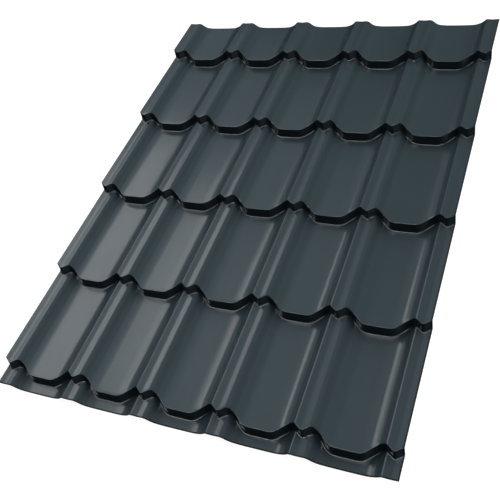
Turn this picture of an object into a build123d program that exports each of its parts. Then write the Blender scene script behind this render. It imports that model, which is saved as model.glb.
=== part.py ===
from build123d import *
import math
import os

# Tile effect roofing sheet, pressed from one coated steel sheet. Sizes are in millimetres.
# X runs across the roof, +Y up the slope and +Z up. The sheet lies with its tile rows' mean plane level.

# Tiles across the sheet, and how far the last rib runs on to lap under the next sheet
pan_count = 5
pitch = 237.0
side_lap = 44.0

# Tile rows up the slope
row_count = 4
module_length = 350.0
front_apron = 42.5
back_apron = 212.0

# Step between two rows: the riser leans forward at its foot
step_height = 31.4
riser_lean = 7.5
nose_radius = 2.5
foot_radius = 5.0
bend_facets = 1

# Sheet thickness
thickness = 0.5

# Section of one tile. Each corner has its rise over the pan, its setback, which is how far the step
# stands back there from the middle of the pan, and the radius to which the sheet is bent there.
crest_rise = 25.5
crest_setback = 32.3
crest_radius = 11.0

# Corners measured from the left crest of the tile's own rib. The pan is dished: its middle lies a little
# lower than its two sides.
groove_across = 22.2
groove_rise = 23.4
groove_setback = 16.4
groove_radius = 8.5
round_crest_across = 47.0
round_crest_rise = 25.7
round_crest_setback = 35.1
round_crest_radius = 13.0
shoulder_across = 66.9
shoulder_rise = 5.0
shoulder_setback = 27.5
shoulder_radius = 33.0
pan_dish = 0.35
pan_left_across = 92.7
pan_left_radius = 42.0
pan_middle_across = 135.6
pan_middle_radius = 1780.0

# Corners measured back from the left crest of the next rib. The pan sweeps up to the rib in two bends.
pan_right_back = 56.7
pan_right_radius = 34.0
sweep_back = 35.3
sweep_rise = 2.2
sweep_setback = 19.3
sweep_radius = 78.0
bend_back = 13.2
bend_rise = 11.3
bend_setback = 36.0
bend_radius = 24.0
section_facets = 1

slope = step_height / module_length
uphill = Vector(0, 1, -slope)


def rounded(corners, radii, facets):
    """The corners with each inner one replaced by a round of its radius, cut into facets."""
    points = [corners[0]]
    for before, corner, after, radius in zip(corners, corners[1:], corners[2:], radii):
        come = (corner - before).normalized()
        leave = (after - corner).normalized()
        turn = come.get_angle(leave)
        reach = radius * math.tan(math.radians(turn) / 2)
        inward = (leave - come).normalized()
        centre = corner + inward * (radius / math.cos(math.radians(turn) / 2))
        normal = Axis((0, 0, 0), come.cross(leave))
        start = corner - come * reach
        for facet in range(facets + 1):
            points.append(centre + (start - centre).rotate(normal, turn * facet / facets))
    return points + [corners[-1]]


def tile_corners(left):
    """The corners of one tile from its rib's left crest on, each with the radius of its bend."""
    right = left + pitch
    return [
        (Vector(left, crest_setback, crest_rise), crest_radius),
        (Vector(left + groove_across, groove_setback, groove_rise), groove_radius),
        (Vector(left + round_crest_across, round_crest_setback, round_crest_rise), round_crest_radius),
        (Vector(left + shoulder_across, shoulder_setback, shoulder_rise), shoulder_radius),
        (Vector(left + pan_left_across, 0, pan_dish), pan_left_radius),
        (Vector(left + pan_middle_across, 0, 0), pan_middle_radius),
        (Vector(right - pan_right_back, 0, pan_dish), pan_right_radius),
        (Vector(right - sweep_back, sweep_setback, sweep_rise), sweep_radius),
        (Vector(right - bend_back, bend_setback, bend_rise), bend_radius),
    ]


def section():
    """The whole section: across, setback and rise from the first left crest to the end of the last rib."""
    corners = []
    for tile in range(pan_count):
        corners += tile_corners(tile * pitch)
    crest, groove, round_crest = tile_corners(pan_count * pitch)[:3]
    share = (side_lap - groove_across) / (round_crest_across - groove_across)
    lap_end = groove[0] + (round_crest[0] - groove[0]) * share
    corners += [crest, groove, (lap_end, 0)]
    places = [place for place, radius in corners]
    radii = [radius for place, radius in corners]
    return rounded(places, radii[1:-1], section_facets)


def underside(points):
    """The section moved down by the sheet's thickness, square to its rise, with mitred corners."""
    flat = [Vector(point.X, 0, point.Z) for point in points]
    directions = [(there - here).normalized() for here, there in zip(flat, flat[1:])]
    moved = []
    for index, point in enumerate(points):
        before = directions[max(index - 1, 0)]
        after = directions[min(index, len(directions) - 1)]
        along = (before + after).normalized()
        down = Vector(along.Z, 0, -along.X)
        moved.append(point + down * (thickness / along.dot(after)))
    return moved


def staircase():
    """The steps seen from the side, through the middle of a pan, with rounded noses and feet."""
    foot_drop = step_height - riser_lean * slope
    corners = [Vector(0, -front_apron, (front_apron - riser_lean) * slope - foot_drop)]
    radii = []
    for step in range(row_count + 1):
        nose = step * module_length
        corners += [Vector(0, nose - riser_lean, -foot_drop), Vector(0, nose, 0)]
        radii += [foot_radius, nose_radius]
    corners.append(Vector(0, row_count * module_length + back_apron, -slope * back_apron))
    return rounded(corners, radii, bend_facets)


def skin(points, stairs, inner_shift):
    """One surface of the sheet as rows of points: the section carried along the staircase without turning.

    The step's ribs stand back up the slope, and the first and last row are cut straight across."""
    cut = [Vector(point.X, 0, point.Z) for point in points]
    step = [straight + uphill * (point.Y + inner_shift) for point, straight in zip(points, cut)]
    rows = [[point + place for point in step] for place in stairs[1:-1]]
    return [[point + stairs[0] for point in cut]] + rows + [[point + stairs[-1] for point in cut]]


def strip(first_row, second_row):
    """The flat faces between two rows of points."""
    corners = zip(first_row, first_row[1:], second_row[1:], second_row)
    return [Face(Wire.make_polygon(list(four))) for four in corners]


def pressed_sheet():
    """The whole sheet as one closed solid."""
    top_section = section()
    stairs = staircase()
    top = skin(top_section, stairs, 0)
    bottom = skin(underside(top_section), stairs, thickness)
    faces = []
    for rows in (top, bottom):
        for near, far in zip(rows, rows[1:]):
            faces += strip(near, far)
    for side in (0, -1):
        faces += strip(top[side], bottom[side])
        faces += strip([row[side] for row in top], [row[side] for row in bottom])
    return Solid(Shell(faces))


def grounded(sheet):
    """The sheet with the middle of its box over the origin and its lowest point on the ground."""
    box = sheet.bounding_box()
    return sheet.moved(Location((-box.center().X, -box.center().Y, -box.min.Z)))


tile_sheet = grounded(pressed_sheet())
os.makedirs("parts", exist_ok=True)
export_step(tile_sheet, "parts/tile_sheet.step")
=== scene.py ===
"""Looks of a tile effect roofing sheet pressed from one coated steel sheet, in metres."""

import math

import bpy
import numpy as np
from bpy.props import FloatProperty, FloatVectorProperty, IntProperty, PointerProperty
from mathutils import Matrix, Vector


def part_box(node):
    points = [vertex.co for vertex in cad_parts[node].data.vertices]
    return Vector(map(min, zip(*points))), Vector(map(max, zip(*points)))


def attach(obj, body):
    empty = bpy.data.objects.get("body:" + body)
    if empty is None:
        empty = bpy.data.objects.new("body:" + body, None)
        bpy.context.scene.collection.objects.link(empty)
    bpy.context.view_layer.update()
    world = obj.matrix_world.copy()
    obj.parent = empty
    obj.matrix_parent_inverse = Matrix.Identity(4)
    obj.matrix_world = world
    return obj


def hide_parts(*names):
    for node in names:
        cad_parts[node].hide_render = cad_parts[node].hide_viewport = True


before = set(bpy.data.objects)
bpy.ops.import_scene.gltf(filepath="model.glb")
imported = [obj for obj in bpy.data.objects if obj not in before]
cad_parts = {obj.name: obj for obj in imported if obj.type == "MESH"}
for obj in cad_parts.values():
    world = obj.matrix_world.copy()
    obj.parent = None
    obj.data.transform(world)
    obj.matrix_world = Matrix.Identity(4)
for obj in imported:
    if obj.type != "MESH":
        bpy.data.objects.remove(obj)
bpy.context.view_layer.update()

bl_info = {
    "name": "Tile Effect Roofing Sheet",
    "version": (1, 0, 0),
    "blender": (4, 5, 0),
    "location": "View3D > Sidebar > Roofing",
    "description": "Presses a tile effect roofing sheet and sets it in a plain studio",
    "category": "Add Mesh",
}

MM = 0.001
NODE = "tile_sheet"


def length(name, millimetres, description):
    """A length that the sidebar shows, given here in millimetres."""
    return FloatProperty(name=name, description=description, default=millimetres * MM, unit="LENGTH",
                         precision=4)


def corner(name, across, setback, rise, description):
    """A corner of the tile's section: across, setback of the step there, and rise over the pan."""
    place = (across * MM, setback * MM, rise * MM)
    return FloatVectorProperty(name=name, description=description, default=place, subtype="XYZ",
                               unit="LENGTH", precision=4)


def colour(name, hex_code, description):
    """A colour that the sidebar shows, given here as an sRGB hex code."""
    return FloatVectorProperty(name=name, description=description, default=linear(hex_code), subtype="COLOR",
                               size=4, min=0, max=1)


def linear(hex_code):
    """Turns an sRGB hex code to linear red, green, blue and alpha."""
    values = [int(hex_code[place:place + 2], 16) / 255 for place in (1, 3, 5)]
    return [v / 12.92 if v <= 0.04045 else ((v + 0.055) / 1.055) ** 2.4 for v in values] + [1.0]


class SheetShape(bpy.types.PropertyGroup):
    """Sizes of the pressed sheet."""

    pan_count: IntProperty(name="Tiles across", description="Tiles across the sheet", default=5, min=1)
    row_count: IntProperty(name="Tile rows", description="Whole tile rows up the slope", default=4, min=1)
    pitch: length("Tile width", 237.0, "From one rib to the next")
    side_lap: length("Side lap", 44.0, "How far the last rib runs on past the last tile")
    module: length("Tile length", 350.0, "From one step to the next")
    front_apron: length("Front apron", 42.5, "From the front edge to the first step")
    back_apron: length("Back apron", 212.0, "From the last step to the back edge")
    step_height: length("Step height", 31.4, "How far the sheet rises at each step")
    riser_lean: length("Riser lean", 7.5, "How far the step's foot stands forward of its nose")
    nose_radius: length("Nose radius", 2.5, "Bend at the top of a step")
    foot_radius: length("Foot radius", 5.0, "Bend at the bottom of a step")
    thickness: length("Thickness", 0.5, "Thickness of the coated steel")

    crest: corner("Left crest", 0.0, 32.3, 25.5, "The narrow crest where the rib starts")
    groove: corner("Groove", 22.2, 16.4, 23.4, "The bottom of the groove between the rib's crests")
    round_crest: corner("Round crest", 47.0, 35.1, 25.7, "The rib's second crest")
    shoulder: corner("Shoulder", 66.9, 27.5, 5.0, "Where the rib's steep side turns to the pan")
    pan_left: corner("Pan left", 92.7, 0.0, 0.35, "Where the dished pan starts")
    pan_middle: corner("Pan middle", 135.6, 0.0, 0.0, "The lowest line of the dished pan")
    pan_right: corner("Pan right", -56.7, 0.0, 0.35, "Where the dished pan ends, from the next rib")
    sweep: corner("Sweep", -35.3, 19.3, 2.2, "Where the pan sweeps up, from the next rib")
    bend: corner("Bend", -13.2, 36.0, 11.3, "The bend at the foot of the next rib, from that rib")
    crest_radius: length("Crest radius", 11.0, "Bend at the left crest")
    groove_radius: length("Groove radius", 8.5, "Bend at the groove")
    round_crest_radius: length("Round crest radius", 13.0, "Bend at the round crest")
    shoulder_radius: length("Shoulder radius", 33.0, "Bend at the shoulder")
    pan_left_radius: length("Pan left radius", 42.0, "Bend at the pan's left")
    pan_middle_radius: length("Pan middle radius", 1780.0, "Bend along the pan's lowest line")
    pan_right_radius: length("Pan right radius", 34.0, "Bend at the pan's right")
    sweep_radius: length("Sweep radius", 78.0, "Bend where the pan sweeps up")
    bend_radius: length("Bend radius", 24.0, "Bend at the foot of the next rib")


class SheetFinish(bpy.types.PropertyGroup):
    """Colours of the coatings and cut edge, and the colour and width of the painted shade along the cuts."""

    topcoat: colour("Top coat", "#3c4a50", "Anthracite of the weather side")
    topcoat_shade: colour("Top coat shade", "#39474e", "The top coat where it lies a little thicker")
    backing: colour("Backing coat", "#8b8e8f", "Grey of the underside")
    cut_edge: colour("Cut edge", "#3a3c3d", "Sheared steel between the two coatings")
    # Painted shade: a near-black band along the front, right and back cuts stands in for the shadowed cut
    # face
    margin: colour("Margin", "#0b0e10", "The top coat's dark margin along the cut edges")
    painted_edge_shade_width: length("Margin width", 4.0, "Width of the dark margin along the cut edges")


class StudioSettings(bpy.types.PropertyGroup):
    """Floor and camera."""

    target: FloatVectorProperty(name="Camera target", description="The point that the camera looks at",
                                default=(26.8 * MM, -242.4 * MM, 30.8 * MM), subtype="XYZ", unit="LENGTH")
    distance: length("Camera distance", 2162.8, "From the camera to its target")
    azimuth: FloatProperty(name="Azimuth", description="How far the camera stands round to the right",
                           default=math.radians(39.37), subtype="ANGLE")
    elevation: FloatProperty(name="Elevation", description="How far the camera looks down",
                             default=math.radians(50.94), subtype="ANGLE")
    roll: FloatProperty(name="Roll", description="How far the camera is turned about its own axis",
                        default=math.radians(25.33), subtype="ANGLE")
    lens: FloatProperty(name="Lens", description="Focal length in millimetres on a 36 mm wide sensor",
                        default=50.41, unit="CAMERA")
    floor_size: length("Floor size", 80000.0, "Side of the square floor")
    floor: colour("Floor", "#fafaf9", "Pale floor, lit from below")


# Facets of each bend, and where along each straight it gets points of its own, as shares of its length
SECTION_FACETS = 6
STEP_FACETS = 6
SECTION_SHARES = np.array([0.06, 0.94])
TREAD_SHARES = np.array([0.03, 0.5, 0.97])

# How large the features of each pattern are, in millimetres
TONE_SIZE = 140
SHEEN_SIZE = 60
PEEL_SIZE = 2.0
MOTTLE_SIZE = 45
BURR_SIZE = 3.0
FIBRE_SIZE = 4.0

# How deep the top coat's orange peel is
PEEL_DEPTH = 0.003 * MM

# Edges that turn by more than this are shaded as sharp
SHARP_ANGLE = math.radians(50)

# The camera's sensor and how far it sees
SENSOR_WIDTH_MM = 36
CLIP_END = 100

# The backdrop dome: its faces round, its rings of points, and the heights of its rim and its top in radians
DOME_FACES_ROUND = 48
DOME_RINGS = 12
DOME_RIM = -0.05
DOME_TOP = 1.5

# How far the lights stand from the sheet, in metres, and where the softbox that makes the sheen stands
LIGHT_DISTANCE = 20.0
SOFTBOX_DIRECTION = (-0.648, 0.444, 0.619)

# The soft glow round the softbox is made of rings. Their sizes are in degrees.
GLOW_RINGS = 4
GLOW_WIDTH = 16
GLOW_WIDTH_STEP = 13
GLOW_HEIGHT = 18
GLOW_HEIGHT_STEP = 14

# How the world's light changes along each axis: from where to where, and from what factor to what factor
WORLD_RAMPS = {"Y": (-0.1, 0.3, 0.0, 1.0), "X": (-1.0, 1.0, 0.4, 1.6), "Z": (0.0, 1.0, 1.6, 1.45)}

WHITE = "#ffffff"
PALE_BLUE = "#e4f4ff"
SKY_BLUE = "#d8f0ff"
PAPER_GREY = "#8a8a8a"


def unit(vectors):
    """The vectors of a list at length one."""
    return vectors / np.linalg.norm(vectors, axis=-1, keepdims=True)


def rounded(corners, radii, facets, shares):
    """A line through the corners with an arc of the given radius at each inner one.

    An arc's point at a share s of its turn t is its centre plus start * sin((1 - s) t) / sin t plus
    finish * sin(s t) / sin t, where start and finish run from the centre to the arc's ends. The straights
    between the arcs get points of their own at the given shares of their length, so that they stay flat."""
    corners = np.asarray(corners, float)
    radii = np.asarray(radii, float)[:, None]
    come = unit(corners[1:-1] - corners[:-2])
    leave = unit(corners[2:] - corners[1:-1])
    turn = np.arccos(np.sum(come * leave, axis=1, keepdims=True))
    reach = radii * np.tan(turn / 2)
    centre = corners[1:-1] + unit(leave - come) * radii / np.cos(turn / 2)
    first = corners[1:-1] - come * reach
    last = corners[1:-1] + leave * reach
    share = np.linspace(0, 1, facets + 1)[None, :, None]
    wide = turn[:, :, None]
    arcs = (centre[:, None] + (first - centre)[:, None] * np.sin((1 - share) * wide) / np.sin(wide)
            + (last - centre)[:, None] * np.sin(share * wide) / np.sin(wide))
    starts = np.vstack([corners[:1], last])
    ends = np.vstack([first, corners[-1:]])
    straights = starts[:, None] + (ends - starts)[:, None] * shares[None, :, None]
    middle = np.concatenate([straights[:-1], arcs], axis=1).reshape(-1, 3)
    return np.vstack([corners[:1], middle, straights[-1], corners[-1:]])


def section_line(shape):
    """Across, setback and rise along the whole section, from the first left crest to the lap's cut edge."""
    tile = np.array([shape.crest, shape.groove, shape.round_crest, shape.shoulder, shape.pan_left,
                     shape.pan_middle, shape.pan_right, shape.sweep, shape.bend])
    tile[tile[:, 0] < 0, 0] += shape.pitch
    radii = [shape.crest_radius, shape.groove_radius, shape.round_crest_radius, shape.shoulder_radius,
             shape.pan_left_radius, shape.pan_middle_radius, shape.pan_right_radius, shape.sweep_radius,
             shape.bend_radius]
    lefts = np.arange(shape.pan_count) * shape.pitch
    tiles = tile[None] + np.stack([lefts, lefts * 0, lefts * 0], axis=1)[:, None]
    last_rib = tile[:3] + [shape.pan_count * shape.pitch, 0, 0]
    share = (shape.side_lap - shape.groove[0]) / (shape.round_crest[0] - shape.groove[0])
    lap_end = last_rib[1] + (last_rib[2] - last_rib[1]) * share
    corners = np.vstack([tiles.reshape(-1, 3), last_rib[:2], lap_end])
    return rounded(corners, (radii * shape.pan_count + radii[:2])[1:], SECTION_FACETS, SECTION_SHARES)


def step_line(shape):
    """The steps seen from the side as (0, y, z), and how much of its setback the section has at each point.

    The cut front and back edges run straight across, so the setback fades out along the aprons."""
    slope = shape.step_height / shape.module
    drop = shape.step_height - shape.riser_lean * slope
    noses = np.arange(shape.row_count + 1) * shape.module
    steps = np.zeros((len(noses), 2, 3))
    steps[:, 0, 1] = noses - shape.riser_lean
    steps[:, 0, 2] = -drop
    steps[:, 1, 1] = noses
    front = [0, -shape.front_apron, (shape.front_apron - shape.riser_lean) * slope - drop]
    back = [0, noses[-1] + shape.back_apron, -slope * shape.back_apron]
    radii = [shape.foot_radius, shape.nose_radius] * len(noses)
    line = rounded(np.vstack([front, steps.reshape(-1, 3), back]), radii, STEP_FACETS, TREAD_SHARES)
    stand = np.ones(len(line))
    stand[:len(TREAD_SHARES) + 1] = np.append(0, TREAD_SHARES)
    stand[-len(TREAD_SHARES) - 1:] = 1 - np.append(TREAD_SHARES, 1)
    return line, stand


def underside(section, thickness):
    """The section moved down by the sheet's thickness, square to its rise, with mitred corners."""
    flat = section * [1, 0, 1]
    direction = unit(np.diff(flat, axis=0))
    before = np.vstack([direction[:1], direction])
    after = np.vstack([direction, direction[-1:]])
    along = unit(before + after)
    down = np.stack([along[:, 2], along[:, 0] * 0, -along[:, 0]], axis=1)
    return section + down * thickness / np.sum(along * after, axis=1, keepdims=True)


def skin(section, line, stand, slope, inner_shift):
    """One surface of the sheet, a grid of points with a row for each point of the steps.

    A point is its place on the step line, plus across and rise from the section, plus its setback up the
    slope: x = across, y = line y + shift, z = line z + rise - slope * shift. The inner shift moves the
    underside's steps back, which gives the risers their thickness. The two cut ends aren't shifted."""
    shift = section[None, :, 1] * stand[:, None] + inner_shift
    shift[[0, -1]] = 0
    x = np.broadcast_to(section[None, :, 0], shift.shape)
    y = line[:, 1:2] + shift
    z = line[:, 2:3] + section[None, :, 2] - slope * shift
    return np.stack([x, y, z], axis=2)


def strip(one, other):
    """The faces between two lines of point numbers."""
    return np.stack([one[:-1], other[:-1], other[1:], one[1:]], axis=1)


def sheet_faces(rows, columns):
    """Faces of a closed sheet of two grids, and which of its three surfaces each face belongs to."""
    top = np.arange(rows * columns).reshape(rows, columns)
    low = top + rows * columns
    over = np.stack([top[:-1, :-1], top[:-1, 1:], top[1:, 1:], top[1:, :-1]], axis=2).reshape(-1, 4)
    under = (over + rows * columns)[:, ::-1]
    rim = np.vstack([
        strip(top[0], low[0]),
        strip(low[-1], top[-1]),
        strip(low[:, 0], top[:, 0]),
        strip(top[:, -1], low[:, -1]),
    ])
    surface = np.repeat([0, 1, 2], [len(over), len(under), len(rim)])
    return np.vstack([over, under, rim]), surface


def place_in_box(points):
    """How far the sheet moves so that it lies in the middle of the frame's box, on its floor."""
    lowest, highest = (np.array(end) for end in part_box(NODE))
    shift = (lowest + highest) / 2 - (points.min(0) + points.max(0)) / 2
    shift[2] = lowest[2] - points[:, 2].min()
    return shift


def make_mesh(name, points, faces, surface, materials):
    """A mesh with smooth bends, sharp cut edges and a material for each surface."""
    mesh = bpy.data.meshes.new(name)
    mesh.from_pydata(points, [], faces)
    for material in materials:
        mesh.materials.append(material)
    mesh.polygons.foreach_set("material_index", surface)
    mesh.polygons.foreach_set("use_smooth", np.ones(len(faces), bool))
    mesh.set_sharp_from_angle(angle=SHARP_ANGLE)
    mesh.update()
    mesh.validate()
    return mesh


def add(tree, kind, inputs, **settings):
    """Adds a node with its settings. An input is a value, or the socket of another node to link it to."""
    node = tree.nodes.new(kind)
    for name, value in settings.items():
        setattr(node, name, value)
    for name, value in inputs.items():
        if isinstance(value, bpy.types.NodeSocket):
            tree.links.new(value, node.inputs[name])
        else:
            node.inputs[name].default_value = value
    return node


def new_material(name):
    """An empty material and its node tree."""
    material = bpy.data.materials.new(name)
    material.use_nodes = True
    material.node_tree.nodes.clear()
    return material, material.node_tree


def per_metre(millimetres):
    """The scale of a pattern whose features are this large."""
    return 1 / (millimetres * MM)


def painted_edge_shade_mask(tree, place, finish):
    """One within the band of painted shade along the front, back and right cut edges, and nought elsewhere.
    """
    lowest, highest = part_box(NODE)
    half_width = (highest[0] - lowest[0]) / 2
    half_length = (highest[1] - lowest[1]) / 2
    parts = add(tree, "ShaderNodeSeparateXYZ", {"Vector": place})
    along = add(tree, "ShaderNodeMath", {0: parts.outputs["Y"]}, operation="ABSOLUTE").outputs[0]
    ends = add(tree, "ShaderNodeMath", {0: along, 1: half_length - finish.painted_edge_shade_width},
               operation="GREATER_THAN").outputs[0]
    side = add(tree, "ShaderNodeMath", {0: parts.outputs["X"], 1: half_width - finish.painted_edge_shade_width},
               operation="GREATER_THAN").outputs[0]
    return add(tree, "ShaderNodeMath", {0: ends, 1: side}, operation="MAXIMUM").outputs[0]


def polyester_topcoat(finish):
    """Polyester coil coating, baked on the strip before it was pressed.

    To the eye: an even satin anthracite with soft reflections, a fine orange peel, and hardly any change of
    tone. Along the front, right and back cuts it is painted dark and dull, as painted shade for the shadowed
    cut face."""
    material, tree = new_material("polyester_topcoat_coil_coated")
    place = add(tree, "ShaderNodeTexCoord", {}).outputs["Object"]
    tone = add(tree, "ShaderNodeTexNoise", {"Vector": place, "Scale": per_metre(TONE_SIZE), "Detail": 3.0})
    paint = add(tree, "ShaderNodeMix", {0: tone.outputs["Fac"], 6: finish.topcoat, 7: finish.topcoat_shade},
                data_type="RGBA")
    # Painted shade: in the band along the front, right and back cuts the top coat turns near-black and fully
    # rough
    margin = painted_edge_shade_mask(tree, place, finish)
    coat = add(tree, "ShaderNodeMix", {0: margin, 6: paint.outputs[2], 7: finish.margin}, data_type="RGBA")
    sheen = add(tree, "ShaderNodeTexNoise", {"Vector": place, "Scale": per_metre(SHEEN_SIZE), "Detail": 2.0})
    rough = add(tree, "ShaderNodeMapRange", {"Value": sheen.outputs["Fac"], "To Min": 0.19, "To Max": 0.21})
    dull = add(tree, "ShaderNodeMath", {0: rough.outputs["Result"], 1: margin}, operation="MAXIMUM")
    peel = add(tree, "ShaderNodeTexNoise", {"Vector": place, "Scale": per_metre(PEEL_SIZE), "Detail": 1.0})
    grain = add(tree, "ShaderNodeBump", {"Height": peel.outputs["Fac"], "Strength": 1.0,
                                         "Distance": PEEL_DEPTH})
    shader = add(tree, "ShaderNodeBsdfPrincipled", {
        "Base Color": coat.outputs[2], "Roughness": dull.outputs[0], "Normal": grain.outputs["Normal"],
        "IOR": 1.5})
    add(tree, "ShaderNodeOutputMaterial", {"Surface": shader.outputs["BSDF"]})
    return material


def backing_coat(finish):
    """Thin epoxy backing coat, rolled on the underside of the strip.

    To the eye: a flat light grey, less even than the weather side."""
    material, tree = new_material("epoxy_backing_coat_rolled")
    place = add(tree, "ShaderNodeTexCoord", {}).outputs["Object"]
    tone = add(tree, "ShaderNodeTexNoise", {"Vector": place, "Scale": per_metre(MOTTLE_SIZE), "Detail": 4.0})
    rough = add(tree, "ShaderNodeMapRange", {"Value": tone.outputs["Fac"], "To Min": 0.5, "To Max": 0.62})
    shader = add(tree, "ShaderNodeBsdfPrincipled", {
        "Base Color": finish.backing, "Roughness": rough.outputs["Result"], "IOR": 1.55})
    add(tree, "ShaderNodeOutputMaterial", {"Surface": shader.outputs["BSDF"]})
    return material


def sheared_edge(finish):
    """Zinc coated steel, bare where the shear cut it.

    To the eye: a thin dull dark line along each cut."""
    material, tree = new_material("zinc_coated_steel_sheared")
    place = add(tree, "ShaderNodeTexCoord", {}).outputs["Object"]
    burr = add(tree, "ShaderNodeTexNoise", {"Vector": place, "Scale": per_metre(BURR_SIZE), "Detail": 2.0})
    rough = add(tree, "ShaderNodeMapRange", {"Value": burr.outputs["Fac"], "To Min": 0.45, "To Max": 0.65})
    shader = add(tree, "ShaderNodeBsdfPrincipled", {
        "Base Color": finish.cut_edge, "Metallic": 1.0, "Roughness": rough.outputs["Result"]})
    add(tree, "ShaderNodeOutputMaterial", {"Surface": shader.outputs["BSDF"]})
    return material


class ROOFING_OT_press_sheet(bpy.types.Operator):
    """Press the coated sheet with its ribs, pans and steps"""

    bl_idname = "roofing.press_sheet"
    bl_label = "Press Sheet"

    def execute(self, context):
        shape = context.scene.sheet_shape
        finish = context.scene.sheet_finish
        slope = shape.step_height / shape.module
        section = section_line(shape)
        line, stand = step_line(shape)
        top = skin(section, line, stand, slope, 0)
        low = skin(underside(section, shape.thickness), line, stand, slope, shape.thickness)
        points = np.concatenate([top.reshape(-1, 3), low.reshape(-1, 3)])
        points += place_in_box(points)
        faces, surface = sheet_faces(len(line), len(section))
        materials = [polyester_topcoat(finish), backing_coat(finish), sheared_edge(finish)]
        mesh = make_mesh("pressed_sheet", points, faces, surface, materials)
        sheet = bpy.data.objects.new("pressed_sheet", mesh)
        context.scene.collection.objects.link(sheet)
        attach(sheet, "root")
        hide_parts(NODE)
        return {"FINISHED"}


def background_paper(studio):
    """Seamless background paper, matt and lit from within.

    To the eye: an even white with hardly a shadow, as behind the sheet in the photograph."""
    material, tree = new_material("background_paper")
    place = add(tree, "ShaderNodeTexCoord", {}).outputs["Object"]
    fibre = add(tree, "ShaderNodeTexNoise", {"Vector": place, "Scale": per_metre(FIBRE_SIZE), "Detail": 3.0})
    rough = add(tree, "ShaderNodeMapRange", {"Value": fibre.outputs["Fac"], "To Min": 0.85, "To Max": 0.95})
    shader = add(tree, "ShaderNodeBsdfPrincipled", {
        "Base Color": linear(PAPER_GREY), "Roughness": rough.outputs["Result"], "Specular IOR Level": 0.1,
        "Emission Color": studio.floor, "Emission Strength": 1.0})
    add(tree, "ShaderNodeOutputMaterial", {"Surface": shader.outputs["BSDF"]})
    return material


def make_floor(studio):
    """The square floor that the sheet lies on. It throws no light on the sheet."""
    half = studio.floor_size / 2
    mesh = bpy.data.meshes.new("floor")
    corners = [(-half, -half, 0), (half, -half, 0), (half, half, 0), (-half, half, 0)]
    mesh.from_pydata(corners, [], [(0, 1, 2, 3)])
    mesh.materials.append(background_paper(studio))
    floor = bpy.data.objects.new("floor", mesh)
    floor.visible_glossy = False
    floor.visible_diffuse = False
    bpy.context.scene.collection.objects.link(floor)


def make_backdrop(studio):
    """A dome of white paper round the floor, which only the camera sees.

    A point is radius * (cos(turn) cos(height), sin(turn) cos(height), sin(height))."""
    turns = np.linspace(0, 2 * np.pi, DOME_FACES_ROUND, endpoint=False)
    turn, height = np.meshgrid(turns, np.linspace(DOME_RIM, DOME_TOP, DOME_RINGS))
    ring = np.stack([np.cos(turn) * np.cos(height), np.sin(turn) * np.cos(height), np.sin(height)], axis=2)
    points = ring.reshape(-1, 3) * studio.floor_size / 2
    rows, columns = turn.shape
    number = np.arange(rows * columns).reshape(rows, columns)
    beside = np.roll(number, -1, axis=1)
    faces = np.stack([number[:-1], number[1:], beside[1:], beside[:-1]], axis=2).reshape(-1, 4)
    mesh = bpy.data.meshes.new("backdrop")
    mesh.from_pydata(points, [], faces)
    mesh.materials.append(background_paper(studio))
    backdrop = bpy.data.objects.new("backdrop", mesh)
    backdrop.visible_diffuse = False
    backdrop.visible_glossy = False
    backdrop.visible_shadow = False
    bpy.context.scene.collection.objects.link(backdrop)


def aim(towards, roll):
    """The rotation of a camera or light that looks along a direction, turned about it by roll."""
    look = Vector(towards).normalized()
    side = look.cross(Vector((0, 0, 1))).normalized()
    up = side.cross(look)
    turned_side = side * math.cos(roll) - up * math.sin(roll)
    turned_up = turned_side.cross(look)
    return Matrix((turned_side, turned_up, -look)).transposed().to_4x4()


def make_camera(studio):
    """The camera at the photograph's angle."""
    level = math.cos(studio.elevation)
    across = -math.sin(studio.azimuth) * level
    ahead = math.cos(studio.azimuth) * level
    look = Vector((across, ahead, -math.sin(studio.elevation)))
    place = Vector(studio.target) - look * studio.distance
    data = bpy.data.cameras.new("camera")
    data.lens = studio.lens
    data.sensor_width = SENSOR_WIDTH_MM
    data.clip_end = CLIP_END
    camera = bpy.data.objects.new("camera", data)
    camera.matrix_world = Matrix.Translation(place) @ aim(look, studio.roll)
    bpy.context.scene.collection.objects.link(camera)
    bpy.context.scene.camera = camera


def softbox(name, direction, width, height, strength, roll=0, tint=WHITE):
    """An ellipse of soft light for the sheen, far out in a direction. Its sizes and roll are in degrees.

    Its power is its strength * pi * the area of the ellipse, which gives every size the same brightness."""
    data = bpy.data.lights.new(name, "AREA")
    data.shape = "ELLIPSE"
    data.size = 2 * LIGHT_DISTANCE * math.tan(math.radians(width / 2))
    data.size_y = 2 * LIGHT_DISTANCE * math.tan(math.radians(height / 2))
    area = math.pi / 4 * data.size * data.size_y
    data.energy = strength * math.pi * area
    data.color = linear(tint)[:3]
    light = bpy.data.objects.new(name, data)
    place = Vector(direction).normalized() * LIGHT_DISTANCE
    light.matrix_world = Matrix.Translation(place) @ aim(-place, math.radians(roll))
    light.visible_diffuse = False
    bpy.context.scene.collection.objects.link(light)


def make_lights():
    """The softbox high on the left with its glow, a dim panel overhead, a strip for the bends at the foot of
    the steps, and dim panels low round the sheet, which show its relief from the other sides."""
    softbox("softbox", SOFTBOX_DIRECTION, width=33, height=20, strength=3.8, roll=-22)
    for ring in range(GLOW_RINGS):
        width = GLOW_WIDTH + GLOW_WIDTH_STEP * ring
        height = GLOW_HEIGHT + GLOW_HEIGHT_STEP * ring
        softbox("softbox_glow_%d" % ring, SOFTBOX_DIRECTION, width, height, strength=0.42, tint=PALE_BLUE)
    softbox("overhead_panel", (0, 0.4, 0.9), width=80, height=80, strength=0.17, tint=SKY_BLUE)
    softbox("overhead_strip", (-0.2, -0.14, 0.97), width=80, height=13, strength=11.0, roll=-57)
    softbox("front_right_panel", (0.68, -0.63, 0.37), width=45, height=25, strength=0.5)
    softbox("back_panel", (0, 0.99, 0.13), width=60, height=12, strength=0.4)
    softbox("left_panel", (-0.94, 0.06, 0.34), width=24, height=20, strength=0.6)


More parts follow.
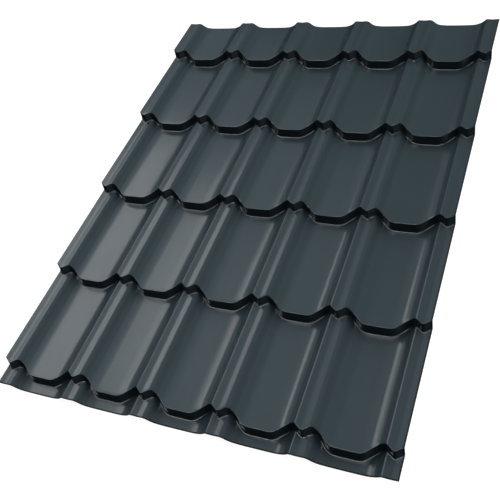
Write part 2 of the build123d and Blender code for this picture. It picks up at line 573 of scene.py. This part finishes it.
def make_world():
    """A dome of light from behind the sheet, stronger on the right and low down. It leaves the risers dark.

    Its strength is the product of three ramps, one along each axis of the light's direction."""
    world = bpy.data.worlds.new("studio")
    world.use_nodes = True
    world.cycles_visibility.glossy = False
    tree = world.node_tree
    direction = add(tree, "ShaderNodeTexCoord", {}).outputs["Generated"]
    parts = add(tree, "ShaderNodeSeparateXYZ", {"Vector": direction})
    strength = 1.0
    for axis, (start, end, first, last) in WORLD_RAMPS.items():
        ramp = add(tree, "ShaderNodeMapRange", {"Value": parts.outputs[axis], "From Min": start,
                                                "From Max": end, "To Min": first, "To Max": last})
        strength = add(tree, "ShaderNodeMath", {0: strength, 1: ramp.outputs["Result"]},
                       operation="MULTIPLY").outputs[0]
    tree.links.new(strength, tree.nodes["Background"].inputs["Strength"])
    tree.nodes["Background"].inputs["Color"].default_value = linear(WHITE)
    bpy.context.scene.world = world


class ROOFING_OT_set_stage(bpy.types.Operator):
    """Set up the floor, the lights and the camera"""

    bl_idname = "roofing.set_stage"
    bl_label = "Set Stage"

    def execute(self, context):
        studio = context.scene.sheet_studio
        make_floor(studio)
        make_backdrop(studio)
        make_camera(studio)
        make_lights()
        make_world()
        context.scene.view_settings.view_transform = "Standard"
        return {"FINISHED"}


class ROOFING_PT_sheet(bpy.types.Panel):
    """Sizes, colours and studio of the roofing sheet"""

    bl_label = "Tile Effect Sheet"
    bl_idname = "ROOFING_PT_sheet"
    bl_space_type = "VIEW_3D"
    bl_region_type = "UI"
    bl_category = "Roofing"

    def draw(self, context):
        for group in (context.scene.sheet_shape, context.scene.sheet_finish, context.scene.sheet_studio):
            box = self.layout.box()
            for name in group.__annotations__:
                box.prop(group, name)
        self.layout.operator(ROOFING_OT_press_sheet.bl_idname)
        self.layout.operator(ROOFING_OT_set_stage.bl_idname)


CLASSES = (SheetShape, SheetFinish, StudioSettings, ROOFING_OT_press_sheet, ROOFING_OT_set_stage,
           ROOFING_PT_sheet)


def register():
    for each in CLASSES:
        bpy.utils.register_class(each)
    bpy.types.Scene.sheet_shape = PointerProperty(type=SheetShape)
    bpy.types.Scene.sheet_finish = PointerProperty(type=SheetFinish)
    bpy.types.Scene.sheet_studio = PointerProperty(type=StudioSettings)


def unregister():
    del bpy.types.Scene.sheet_studio
    del bpy.types.Scene.sheet_finish
    del bpy.types.Scene.sheet_shape
    for each in reversed(CLASSES):
        bpy.utils.unregister_class(each)


def main():
    register()
    bpy.ops.roofing.press_sheet()
    bpy.ops.roofing.set_stage()


if __name__ == "__main__":
    main()
